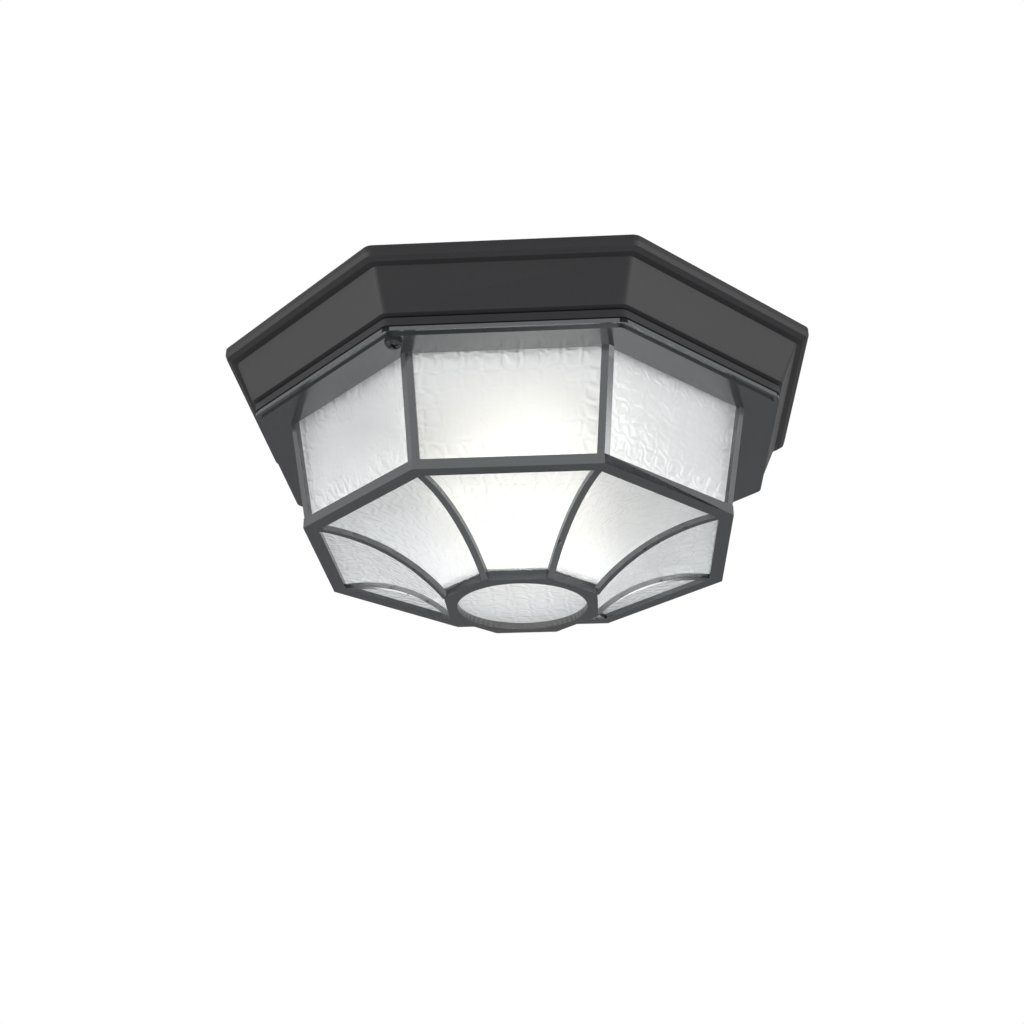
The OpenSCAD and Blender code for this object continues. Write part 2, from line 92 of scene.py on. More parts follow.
class LanternSizes(bpy.types.PropertyGroup):
    """Sizes of the pieces that are made here."""

    ripple_depth: measure("Ripple depth", "Depth of the ripples in the glass", 0.30 * MM)
    ripple_pitch: measure("Ripple pitch", "Usual distance between ripples", 3.6 * MM, 1 * MM)
    ripple_edge: measure("Ripple edge band", "Width of the livelier band round a side pane", 11 * MM)
    grid_step: measure("Glass grid", "Distance between the points of the glass surface", 0.55 * MM)
    bowl_arc_apothem: measure("Bowl arc apothem", "From the axis to the bowl's arc centre", 100.6 * MM)
    thread_pitch: measure("Lamp thread pitch", "Pitch of the lamp base's rolled thread", 3.63 * MM)
    thread_depth: measure("Lamp thread depth", "Depth of the lamp base's rolled thread", 0.75 * MM)
    edge_round: measure("Edge round", "Rounding of the castings' edges", 0.45 * MM)
    floor_drop: measure("Floor drop", "From the lantern's ceiling plane down to the floor", 1.4)


def colour(name, description, value):
    return bpy.props.FloatVectorProperty(
        name=name, description=description, default=value, size=3, min=0, max=1, subtype="COLOR"
    )


class LanternColours(bpy.types.PropertyGroup):
    """Colours of the finishes."""

    canopy: colour("Canopy coat", "Matte textured black of the canopy", (0.022, 0.022, 0.024))
    cage: colour("Cage coat", "Semi-gloss black of the cage", (0.080, 0.085, 0.090))
    glass: colour("Glass", "Tint of the rippled glass", (0.94, 0.955, 0.965))
    enamel: colour("Reflector enamel", "White of the reflector plate", (0.86, 0.86, 0.85))
    lamp: colour("Lamp light", "Colour of the lit bulbs", (1.0, 0.95, 0.87))
    porcelain: colour("Porcelain", "Glaze of the lamp sockets", (0.80, 0.79, 0.75))
    zinc: colour("Zinc", "Plating of the strap, brackets and small screws", (0.55, 0.56, 0.57))
    brass: colour("Brass", "Screw shells and contacts", (0.72, 0.52, 0.22))
    floor: colour("Floor", "Grey floor of the studio", (0.55, 0.55, 0.55))


# ---------- node materials ----------


def new_group(name, inputs, outputs):
    """An empty shader node group with named float inputs {name: default} and outputs {name: socket type}."""
    group = bpy.data.node_groups.new(name, "ShaderNodeTree")
    for label, value in inputs.items():
        socket = group.interface.new_socket(label, in_out="INPUT", socket_type="NodeSocketFloat")
        socket.default_value = value
    for label, kind in outputs.items():
        group.interface.new_socket(label, in_out="OUTPUT", socket_type=kind)
    return group, group.nodes.new("NodeGroupInput"), group.nodes.new("NodeGroupOutput")


def noise_node(nodes, links, vector, scale, detail, roughness):
    noise = nodes.new("ShaderNodeTexNoise")
    noise.inputs["Detail"].default_value = detail
    noise.inputs["Roughness"].default_value = roughness
    links.new(vector, noise.inputs["Vector"])
    links.new(scale, noise.inputs["Scale"])
    return noise.outputs["Fac"]


def math_node(nodes, links, operation, a, b):
    node = nodes.new("ShaderNodeMath")
    node.operation = operation
    for socket, value in zip(node.inputs, (a, b)):
        if isinstance(value, (int, float)):
            socket.default_value = value
        else:
            links.new(value, socket)
    return node.outputs[0]


def two_noise_group(name, broad, fine, fine_share):
    """Group whose Mask mixes a broad noise with a fine one by Fine Share, and whose Height is the fine one.

    broad and fine are each (input label, default scale, detail, roughness).
    """
    group, give, take = new_group(
        name,
        {broad[0]: broad[1], fine[0]: fine[1], "Fine Share": fine_share},
        {"Mask": "NodeSocketFloat", "Height": "NodeSocketFloat"},
    )
    nodes, links = group.nodes, group.links
    place = nodes.new("ShaderNodeTexCoord").outputs["Object"]
    slow, quick = (
        noise_node(nodes, links, place, give.outputs[label], detail, roughness)
        for label, _, detail, roughness in (broad, fine)
    )
    share = math_node(nodes, links, "MULTIPLY", quick, give.outputs["Fine Share"])
    rest = math_node(nodes, links, "SUBTRACT", 1.0, give.outputs["Fine Share"])
    slow_share = math_node(nodes, links, "MULTIPLY", slow, rest)
    links.new(math_node(nodes, links, "ADD", share, slow_share), take.inputs["Mask"])
    links.new(quick, take.inputs["Height"])
    return group


def grain_group():
    """Fine grain and broad patches of a coat or a plated surface."""
    patches = ("Patch Scale", 18.0, 3.0, 0.55)
    grain = ("Grain Scale", 900.0, 2.0, 0.6)
    return two_noise_group("coat_grain", patches, grain, 0.5)


def brush_group():
    """Fine lines along X on drawn or brushed metal: noise stretched 40 times along that axis."""
    group, give, take = new_group(
        "drawn_lines", {"Line Scale": 1600.0}, {"Mask": "NodeSocketFloat", "Height": "NodeSocketFloat"}
    )
    nodes, links = group.nodes, group.links
    place = nodes.new("ShaderNodeTexCoord").outputs["Object"]
    stretch = nodes.new("ShaderNodeMapping")
    stretch.inputs["Scale"].default_value = (0.025, 1.0, 1.0)
    links.new(place, stretch.inputs["Vector"])
    lines = noise_node(nodes, links, stretch.outputs["Vector"], give.outputs["Line Scale"], 2.0, 0.55)
    links.new(lines, take.inputs["Mask"])
    links.new(lines, take.inputs["Height"])
    return group


def cloud_group():
    """Faint cloudiness of poured glass, raised by a fine ripple."""
    clouds = ("Cloud Scale", 22.0, 2.0, 0.55)
    ripple = ("Ripple Scale", 260.0, 1.0, 0.55)
    return two_noise_group("poured_glass", clouds, ripple, 0.35)


def shared_group(name, make):
    return bpy.data.node_groups.get(name) or make()


def tinted(base, factor):
    """The base colour made lighter or darker by a factor, kept inside 0 to 1."""
    return [min(max(channel * factor, 0.0), 1.0) for channel in base] + [1.0]


def finish(name, base, group, values, spread, rough, bump, bump_depth=0.05 * MM, **shader):
    """A Principled material: colour and roughness follow a group's mask, and the normal its height.

    spread is how far the colour goes either way, and rough is the roughness at mask 0 and 1. shader sets
    plain sockets, by their names with _ for a space.
    """
    material = bpy.data.materials.new(name)
    material.use_nodes = True
    nodes, links = material.node_tree.nodes, material.node_tree.links
    principled = nodes["Principled BSDF"]
    pattern = nodes.new("ShaderNodeGroup")
    pattern.node_tree = group
    for label, value in values.items():
        pattern.inputs[label].default_value = value
    mix = nodes.new("ShaderNodeMix")
    mix.data_type = "RGBA"
    mix.inputs["A"].default_value = tinted(base, 1 - spread)
    mix.inputs["B"].default_value = tinted(base, 1 + spread)
    links.new(pattern.outputs["Mask"], mix.inputs["Factor"])
    links.new(mix.outputs["Result"], principled.inputs["Base Color"])
    sheen = nodes.new("ShaderNodeMapRange")
    sheen.inputs["To Min"].default_value = rough[0]
    sheen.inputs["To Max"].default_value = rough[1]
    links.new(pattern.outputs["Mask"], sheen.inputs["Value"])
    links.new(sheen.outputs["Result"], principled.inputs["Roughness"])
    if bump:
        relief = nodes.new("ShaderNodeBump")
        relief.inputs["Strength"].default_value = bump
        relief.inputs["Distance"].default_value = bump_depth
        links.new(pattern.outputs["Height"], relief.inputs["Height"])
        links.new(relief.outputs["Normal"], principled.inputs["Normal"])
    for label, value in shader.items():
        principled.inputs[label.replace("_", " ")].default_value = value
    return material


def canopy_coat(colours):
    """Matte powder coat with a fine texture."""
    values = {"Patch Scale": 16.0, "Grain Scale": 1100.0, "Fine Share": 0.6}
    coat = shared_group("coat_grain", grain_group)
    return finish("powder_coat", colours.canopy, coat, values, 0.2, (0.5, 0.62), 0.55, 0.12 * MM)


def cage_coat(colours):
    """Semi-gloss coat, smoother than the canopy's."""
    values = {"Patch Scale": 20.0, "Grain Scale": 700.0, "Fine Share": 0.4}
    coat = shared_group("coat_grain", grain_group)
    return finish(
        "gloss_coat", colours.cage, coat, values, 0.15, (0.12, 0.2), 0.2, 0.03 * MM, Metallic=0.45, IOR=3.2
    )


def plain_coat(name, base, rough, spread=0.12, bump=0.15, **shader):
    """Any other finish with patches and grain."""
    coat = shared_group("coat_grain", grain_group)
    return finish(name, base, coat, {}, spread, rough, bump, **shader)


def drawn_metal(name, base, rough):
    """Plated or drawn metal with fine lines."""
    lines = shared_group("drawn_lines", brush_group)
    return finish(name, base, lines, {}, 0.15, rough, 0.2, 0.03 * MM, Metallic=1.0)


def glow_between(material, factor, dark, bright, strength):
    """Makes a material glow, in a colour between dark and bright by a factor's socket."""
    nodes, links = material.node_tree.nodes, material.node_tree.links
    glow = nodes.new("ShaderNodeMix")
    glow.data_type = "RGBA"
    glow.inputs["A"].default_value = dark
    glow.inputs["B"].default_value = bright
    links.new(factor, glow.inputs["Factor"])
    principled = nodes["Principled BSDF"]
    links.new(glow.outputs["Result"], principled.inputs["Emission Color"])
    principled.inputs["Emission Strength"].default_value = strength


def pane_glass(colours):
    """Poured glass with a glossy skin and lamp light painted into it as a glow.

    The ripples are in the mesh. The mask varies haze and tint a little. The painted glow of lamp light
    follows the lit attribute.
    """
    clouds = shared_group("poured_glass", cloud_group)
    material = finish(
        "rippled_glass", colours.glass, clouds, {}, 0.03, (0.45, 0.55), 0.3, 0.1 * MM,
        Transmission_Weight=1.0, IOR=1.46, Coat_Weight=1.0, Coat_Roughness=0.03,
    )
    # Emission that paints lamp light into the glass, from black up to a little above the glass tint
    lit = material.node_tree.nodes.new("ShaderNodeAttribute")
    lit.attribute_name = PAINTED_LIGHT
    glow_between(material, lit.outputs["Fac"], (0, 0, 0, 1), tinted(colours.glass, 1.03), GLASS_PAINTED_GLOW)
    return material


def lamp_glass(colours):
    """Frosted bulb that glows, a little unevenly."""
    coat = shared_group("coat_grain", grain_group)
    material = finish("lit_frosting", colours.lamp, coat, {}, 0.03, (0.35, 0.45), 0.0)
    mask = next(node for node in material.node_tree.nodes if node.type == "GROUP").outputs["Mask"]
    glow_between(material, mask, tinted(colours.lamp, 0.9), tinted(colours.lamp, 1.0), LAMP_GLOW)
    return material


def material_once(name, make):
    return bpy.data.materials.get(name) or make()


def rippled_glass(colours):
    return material_once("rippled_glass", lambda: pane_glass(colours))


def zinc_plate(colours):
    return material_once("zinc_plate", lambda: drawn_metal("zinc_plate", colours.zinc, (0.32, 0.45)))


def repaint(material, *names):
    """Gives CAD nodes a material in all their slots."""
    for name in names:
        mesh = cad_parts[name].data
        if not mesh.materials:
            mesh.materials.append(material)
        for slot in range(len(mesh.materials)):
            mesh.materials[slot] = material


# ---------- surfaces ----------


def store_painted_light(mesh, lit):
    """Stores the lamp light painted into each point of a pane, from 0 to 1."""
    # Painted light: these values become the glass's emitted glow
    attribute = mesh.attributes.new(PAINTED_LIGHT, "FLOAT", "POINT")
    attribute.data.foreach_set("value", np.ascontiguousarray(lit, dtype=np.float32))


def painted_lamp_light(points, x, y, pitch, seed, lively=1.0):
    """Lamp light painted into the points of a pane as a glow, from 0 to 1.

    It is the sum of an even share, a share of (ball radius / distance) squared summed over both bulbs' balls,
    and a share of the slope of the ripples along the diagonal of the pane's own plane, as painted highlight
    and shade.
    """
    glow = np.zeros(points.shape[:-1])
    for side, axis in (("left", 1), ("right", -1)):
        low, high = (np.array(corner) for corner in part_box(f"{side}_bulb"))
        ball = 0.5 * (high[2] - low[2])
        centre = 0.5 * (low + high)
        centre[0] = high[0] - ball if axis > 0 else low[0] + ball
        glow += ball**2 / ((points - centre) ** 2).sum(axis=-1)
    shift = SLOPE_STEP * pitch
    slope = ripples(x + shift, y + shift, pitch, seed) - ripples(x, y, pitch, seed)
    # Painted light: an even glow, painted pools of bulb light, and painted highlight and shade on the ripple
    # slopes
    return np.clip(EVEN_PAINTED_LIGHT + BULB_PAINTED_LIGHT * glow + SLOPE_PAINTED_LIGHT * slope * lively, 0, 1)


def vertex_points(mesh):
    """The vertices of a mesh as an array of points."""
    flat = np.empty(3 * len(mesh.vertices), dtype=np.float32)
    mesh.vertices.foreach_get("co", flat)
    return flat.reshape(-1, 3)


def put_piece(name, mesh, material, body, node):
    """Puts a mesh in the scene as one object that rides on a body and stands for a CAD node.

    It raises an error if the mesh leaves the node's box or falls well short of it.
    """
    mesh.set_sharp_from_angle(angle=SHARP_EDGE)
    mesh.materials.append(material)
    piece = bpy.data.objects.new(name, mesh)
    bpy.context.scene.collection.objects.link(piece)
    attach(piece, body)
    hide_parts(node)
    low, high = (np.array(corner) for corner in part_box(node))
    points = vertex_points(mesh)
    off = max(np.abs(points.min(axis=0) - low).max(), np.abs(points.max(axis=0) - high).max())
    if off > BOX_SLACK:
        raise RuntimeError(f"{name} is off its solid by {1000 * off:.2f} mm")


def smooth_mesh(name, points, faces):
    """A smooth-shaded mesh from points and lists of faces of any length."""
    mesh = bpy.data.meshes.new(name)
    mesh.from_pydata(points.tolist(), [], faces)
    mesh.polygons.foreach_set("use_smooth", np.ones(len(mesh.polygons), dtype=bool))
    mesh.update()
    if mesh.validate():
        raise RuntimeError(f"{name} has faulty faces")
    return mesh


def quad_mesh(name, points, faces):
    """A smooth-shaded mesh from points and quads, its faces turned outwards by the sign of its volume."""
    first, second, third, fourth = (points[faces[:, k]] for k in range(4))
    volume = np.einsum("ij,ij->i", first, np.cross(second, third)).sum()
    volume += np.einsum("ij,ij->i", first, np.cross(third, fourth)).sum()
    if volume < 0:
        faces = faces[:, ::-1]
    mesh = bpy.data.meshes.new(name)
    loops = faces.ravel()
    mesh.vertices.add(len(points))
    mesh.loops.add(len(loops))
    mesh.polygons.add(len(faces))
    mesh.vertices.foreach_set("co", np.ascontiguousarray(points, dtype=np.float32).ravel())
    mesh.loops.foreach_set("vertex_index", np.ascontiguousarray(loops, dtype=np.int32))
    mesh.polygons.foreach_set("loop_start", np.arange(0, len(loops), 4, dtype=np.int32))
    mesh.polygons.foreach_set("use_smooth", np.ones(len(faces), dtype=bool))
    mesh.update(calc_edges=True)
    mesh.validate()
    return mesh


def grid_quads(rows, columns, start=0):
    """Quads of a grid of rows x columns points numbered row by row."""
    i, j = np.meshgrid(np.arange(rows - 1), np.arange(columns - 1), indexing="ij")
    a = (start + i * columns + j).ravel()
    return np.stack([a, a + columns, a + columns + 1, a + 1], axis=1)


def sheet_between(outer, inner):
    """Closed sheet between two grids of one size: both grids, and four strips that join their borders."""
    rows, columns = outer.shape[:2]
    count = rows * columns
    points = np.concatenate([outer.reshape(-1, 3), inner.reshape(-1, 3)])
    index = np.arange(count).reshape(rows, columns)
    rim = np.concatenate([index[0, :-1], index[:-1, -1], index[-1, :0:-1], index[:0:-1, 0]])
    after = np.roll(rim, -1)
    strip = np.stack([rim, after, after + count, rim + count], axis=1)
    front = grid_quads(rows, columns)
    back = grid_quads(rows, columns, count)[:, ::-1]
    return points, np.concatenate([front, back, strip])


def ripples(x, y, pitch, seed):
    """Poured glass relief from 0 to 1 at places x, y in metres.

    The sum of 26 plane waves in all directions, with wavelengths between 0.55 and 1.9 pitches and heights in
    proportion, read at places that are themselves pushed about by slower waves, then squeezed into 0 to 1.
    """
    count = 26
    reach = 0.35 * pitch
    slow = TAU / (4.5 * pitch)
    chance = np.random.default_rng(seed)
    push = chance.uniform(0, TAU, 4)
    wx = x + reach * (np.sin(slow * y + push[0]) + np.sin(1.7 * slow * x + push[1]))
    wy = y + reach * (np.sin(1.3 * slow * x + push[2]) + np.sin(1.9 * slow * y + push[3]))
    turn = chance.uniform(0, math.pi, count)
    length = pitch * chance.uniform(0.55, 1.9, count)
    phase = chance.uniform(0, TAU, count)
    k = TAU / length
    waves = np.sin(wx[..., None] * k * np.cos(turn) + wy[..., None] * k * np.sin(turn) + phase)
    height = (waves * length).sum(axis=-1) / np.sqrt((length**2).sum())
    return 0.5 + 0.5 * np.tanh(height)


def turned(points, k):
    """Points turned about Z by k eighths of a circle."""
    angle = TAU * k / SIDES
    c, s = math.cos(angle), math.sin(angle)
    return points @ np.array([[c, s, 0], [-s, c, 0], [0, 0, 1]])


def corners_of(name, k):
    """The corner points of a CAD pane, turned back to the side that faces -Y."""
    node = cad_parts[name]
    world = np.array(node.matrix_world)
    return turned(vertex_points(node.data).astype(float) @ world[:3, :3].T + world[:3, 3], -k)


def pick(points, *directions):
    """The point that lies furthest along the sum of some directions, each (direction, weight)."""
    score = sum(weight * (points @ np.array(direction, dtype=float)) for direction, weight in directions)
    return points[np.argmax(score)]


def put_pane(name, k, outer, inner, x, y, seed, sizes, material, lively=1.0):
    """Turns a pane's outer and inner grids to side k, closes it, paints lamp light into it and puts it in the
    cage.
    """
    outer, inner = turned(outer, k), turned(inner, k)
    # Painted light: glow of the lamps and painted highlight and shade on the ripples, stored on both faces
    lit = painted_lamp_light(outer, x, y, sizes.ripple_pitch, seed, lively)
    title = f"rippled_{name}"
    mesh = quad_mesh(title, *sheet_between(outer, inner))
    store_painted_light(mesh, np.tile(lit.ravel(), 2))
    put_piece(title, mesh, material, "cage", name)


def side_pane_piece(k, sizes, material):
    """Rippled trapezoid pane.

    A point is the blend of the solid's four outer corners by u across and v up. The outer face is pressed
    inwards along the pane's normal by the ripple depth times the relief, more so within a band of the border.
    """
    name = f"side_pane_{k + 1}"
    points = corners_of(name, k)
    edge = {}
    for label, depth in (("outer", -1), ("inner", 1)):
        for side in (-1, 1):
            for high in (-1, 1):
                edge[label, side, high] = pick(
                    points, ((side, 0, 0), 1), ((0, 0, high), 0.9), ((0, depth, 0), 2.2)
                )
    width = edge["outer", 1, 1][0] - edge["outer", -1, 1][0]
    rise = np.linalg.norm(edge["outer", 1, 1] - edge["outer", 1, -1])
    columns = int(round(width / sizes.grid_step)) + 1
    rows = int(round(rise / sizes.grid_step)) + 1
    u, v = np.meshgrid(np.linspace(0, 1, columns), np.linspace(0, 1, rows))
    faces = {}
    for label in ("outer", "inner"):
        a, b, c, d = (edge[label, s, h] for s, h in ((-1, -1), (1, -1), (-1, 1), (1, 1)))
        low = a + u[..., None] * (b - a)
        top = c + u[..., None] * (d - c)
        faces[label] = low + v[..., None] * (top - low)
    across = edge["outer", 1, -1] - edge["outer", -1, -1]
    upward = edge["outer", -1, 1] - edge["outer", -1, -1]
    inward = np.cross(upward, across)
    inward = inward / np.linalg.norm(inward)
    inward *= np.sign(inward[1])
    border = np.minimum(np.minimum(u, 1 - u) * width, np.minimum(v, 1 - v) * rise)
    calm = 0.14
    lively = calm + (1 - calm) * np.exp(-((border / sizes.ripple_edge) ** 2))
    x, y, seed = u * width, v * rise, SIDE_SEED + k
    relief = ripples(x, y, sizes.ripple_pitch, seed)
    outer = faces["outer"] + (sizes.ripple_depth * lively * relief)[..., None] * inward
    put_pane(name, k, outer, faces["inner"], x, y, seed, sizes, material, lively)


def bowl_pane_piece(k, sizes, material):
    """Rippled curved pane of the bowl.

    Its two faces are arcs about one line along X, swept across a trapezoid that narrows towards the bottom
    ring. The lower face is pressed into the glass by the ripple depth times the relief.
    """
    name = f"bowl_pane_{k + 1}"
    points = corners_of(name, k)
    hair = 0.01 * MM
    y_out, y_in = points[:, 1].min(), points[:, 1].max()
    at_out = points[points[:, 1] < y_out + hair]
    at_in = points[points[:, 1] > y_in - hair]
    half_out, half_in = at_out[:, 0].max(), at_in[:, 0].max()
    centre_y = -sizes.bowl_arc_apothem
    # The lower arc passes through its two end points: that gives the height of its centre
    z_out, z_in = at_out[:, 2].min(), at_in[:, 2].min()
    centre_z = z_out**2 - z_in**2 + (y_out - centre_y) ** 2 - (y_in - centre_y) ** 2
    centre_z /= 2 * (z_out - z_in)
    low_r = math.hypot(y_out - centre_y, z_out - centre_z)
    high_r = math.hypot(y_out - centre_y, at_out[:, 2].max() - centre_z)
    ends = [math.asin((y - centre_y) / low_r) for y in (y_out, y_in)]
    span = abs(ends[1] - ends[0]) * low_r
    columns = int(round(2 * half_out / sizes.grid_step)) + 1
    rows = int(round(span / sizes.grid_step)) + 1
    u, v = np.meshgrid(np.linspace(-1, 1, columns), np.linspace(0, 1, rows))
    x, y, seed = u * half_out, v * span, BOWL_SEED + k
    relief = ripples(x, y, sizes.ripple_pitch, seed)

    def face(radius):
        """Arc of a radius, which may vary over the grid, between the plan ends: u across and v inwards."""
        start = np.arcsin((y_out - centre_y) / radius)
        stop = np.arcsin((y_in - centre_y) / radius)
        angle = start + v * (stop - start)
        deep = centre_y + radius * np.sin(angle)
        share = (deep - y_out) / (y_in - y_out)
        wide = u * (half_out + (half_in - half_out) * share)
        return np.stack([wide, deep, centre_z + radius * np.cos(angle)], axis=-1)

    outer = face(low_r + sizes.ripple_depth * relief)
    inner = face(np.full_like(u, high_r))
    put_pane(name, k, outer, inner, x, y, seed, sizes, material)


def tube_quads(rings, steps):
    """Quads between rings of points numbered ring by ring, each ring closed on itself."""
    i, j = np.meshgrid(np.arange(rings - 1), np.arange(steps), indexing="ij")
    after = (j + 1) % steps
    corners = [i * steps + j, i * steps + after, (i + 1) * steps + after, (i + 1) * steps + j]
    return np.stack(corners, axis=-1).reshape(-1, 4)


def put_lathe(name, along, radius, steps, axis, material, body, node, twist=None):
    """Closed solid of revolution along +X or -X, from the near end of a CAD node's box.

    along and radius are the profile, from pole to pole. twist adds to the radius over the profile and the
    turn. The poles are closed by fans of triangles.
    """
    angle = np.linspace(0, TAU, steps, endpoint=False)
    r = radius[1:-1, None] + np.zeros_like(angle)
    if twist is not None:
        r = r + twist(along[1:-1, None], angle[None, :])
    reach = np.broadcast_to(along[1:-1, None], r.shape)
    ring = np.stack([reach, r * np.cos(angle), r * np.sin(angle)], axis=-1)
    rings = len(along) - 2
    poles = np.array([[along[0], 0, 0], [along[-1], 0, 0]])
    points = np.concatenate([ring.reshape(-1, 3), poles])
    points[:, 0] *= axis
    low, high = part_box(node)
    points += np.array([low[0] if axis > 0 else high[0], 0.5 * (low[1] + high[1]), 0.5 * (low[2] + high[2])])
    wall = tube_quads(rings, steps)
    j = np.arange(steps)
    after = (j + 1) % steps
    last_ring = (rings - 1) * steps
    fan = np.concatenate([
        np.stack([np.full(steps, rings * steps), after, j], axis=1),
        np.stack([np.full(steps, rings * steps + 1), last_ring + j, last_ring + after], axis=1),
    ])
    if axis > 0:
        wall, fan = wall[:, ::-1], fan[:, ::-1]
    put_piece(name, smooth_mesh(name, points, wall.tolist() + fan.tolist()), material, body, node)


def bottom_pane_piece(sizes, material):
    """Rippled round pane: rings of points from the middle out, the underside pressed up by the relief."""
    name = "bottom_pane"
    low, high = (np.array(corner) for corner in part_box(name))
    radius = 0.5 * (high[0] - low[0])
    rings = int(round(radius / sizes.grid_step)) + 1
    steps = 240
    angle = np.linspace(0, TAU, steps, endpoint=False)
    r = np.linspace(0, radius, rings)[1:]
    x = r[:, None] * np.cos(angle)
    y = r[:, None] * np.sin(angle)
    relief = ripples(x, y, sizes.ripple_pitch, BOTTOM_SEED)
    middle = ripples(np.zeros(1), np.zeros(1), sizes.ripple_pitch, BOTTOM_SEED)[0]
    under = np.stack([x, y, low[2] + sizes.ripple_depth * relief], axis=-1).reshape(-1, 3)
    over = np.stack([x, y, np.full_like(x, high[2])], axis=-1).reshape(-1, 3)
    poles = np.array([[0, 0, low[2] + sizes.ripple_depth * middle], [0, 0, high[2]]])
    points = np.concatenate([under, over, poles])
    wall = tube_quads(rings - 1, steps)
    count = (rings - 1) * steps
    k = np.arange(steps)
    after = (k + 1) % steps
    inside = count - steps
    rim = np.stack([inside + k, inside + after, count + inside + after, count + inside + k], axis=1)
    under_fan = np.stack([np.full(steps, 2 * count), after, k], axis=1)
    over_fan = np.stack([np.full(steps, 2 * count + 1), count + k, count + after], axis=1)
    quads = np.concatenate([wall, wall[:, ::-1] + count, rim])
    fans = np.concatenate([under_fan, over_fan])
    mesh = smooth_mesh("rippled_bottom_pane", points, quads.tolist() + fans.tolist())
    # Painted light: glow of the lamps and painted highlight and shade on the ripples of the bottom pane
    store_painted_light(mesh, painted_lamp_light(points, points[:, 0], points[:, 1], sizes.ripple_pitch, BOTTOM_SEED))
    put_piece("rippled_bottom_pane", mesh, material, "cage", name)


# ---------- operators, one for each group of like pieces ----------


def soft_edges(node, width):
    """Rounds a casting's edges: its loose triangles are joined, then bevelled where they meet at an angle."""
    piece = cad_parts[node]
    weld = piece.modifiers.new("joined", "WELD")
    weld.merge_threshold = 0.001 * MM
    bevel = piece.modifiers.new("edge_round", "BEVEL")
    bevel.width = width
    bevel.segments = 2
    bevel.limit_method = "ANGLE"
    bevel.angle_limit = BEVELLED_EDGE
    bevel.use_clamp_overlap = True


class LANTERN_OT_canopy(bpy.types.Operator):
    """Coat the canopy and soften its edges"""

    bl_idname = "lantern.canopy"
    bl_label = "Canopy"

    def execute(self, context):
        colours = context.scene.lantern_colours
        repaint(canopy_coat(colours), "canopy")
        soft_edges("canopy", context.scene.lantern_sizes.edge_round)
        return {"FINISHED"}


class LANTERN_OT_mounting(bpy.types.Operator):
    """Finish the strap, studs, nuts, ground screw, gasket, insulation and bushing"""

    bl_idname = "lantern.mounting"
    bl_label = "Mounting parts"

    def execute(self, context):
        colours = context.scene.lantern_colours
        repaint(zinc_plate(colours), "mounting_strap", "mounting_studs", "bracket_screws", "socket_screws")
        repaint(drawn_metal("polished_nut", (0.72, 0.72, 0.73), (0.14, 0.22)), "cap_nuts")
        repaint(plain_coat("green_screw", (0.03, 0.26, 0.09), (0.3, 0.42), Metallic=0.6), "ground_screw")
        foam = plain_coat("black_foam", (0.02, 0.02, 0.02), (0.8, 0.95), 0.4, 0.8)
        repaint(foam, "ceiling_gasket", "wire_bushing", "cage_gasket")
        wool = plain_coat("mineral_wool", (0.66, 0.58, 0.36), (0.9, 1.0), 0.35, 1.0, bump_depth=1 * MM)
        repaint(wool, "insulation_pad")
        return {"FINISHED"}


class LANTERN_OT_reflector(bpy.types.Operator):
    """Enamel the reflector plate"""

    bl_idname = "lantern.reflector"
    bl_label = "Reflector plate"

    def execute(self, context):
        colours = context.scene.lantern_colours
        repaint(plain_coat("white_enamel", colours.enamel, (0.22, 0.32), 0.03, 0.1), "reflector_plate")
        return {"FINISHED"}


class LANTERN_OT_sockets(bpy.types.Operator):
    """Finish the sockets, their brackets, screw shells and contacts"""

    bl_idname = "lantern.sockets"
    bl_label = "Lamp sockets"

    def execute(self, context):
        colours = context.scene.lantern_colours
        repaint(zinc_plate(colours), "left_socket_bracket", "right_socket_bracket")
        glaze = plain_coat("porcelain_glaze", colours.porcelain, (0.1, 0.2), 0.04, 0.08)
        repaint(glaze, "left_socket", "right_socket")
        brass = drawn_metal("shell_brass", colours.brass, (0.2, 0.32))
        repaint(brass, "left_screw_shell", "right_screw_shell", "left_centre_contact", "right_centre_contact")
        return {"FINISHED"}


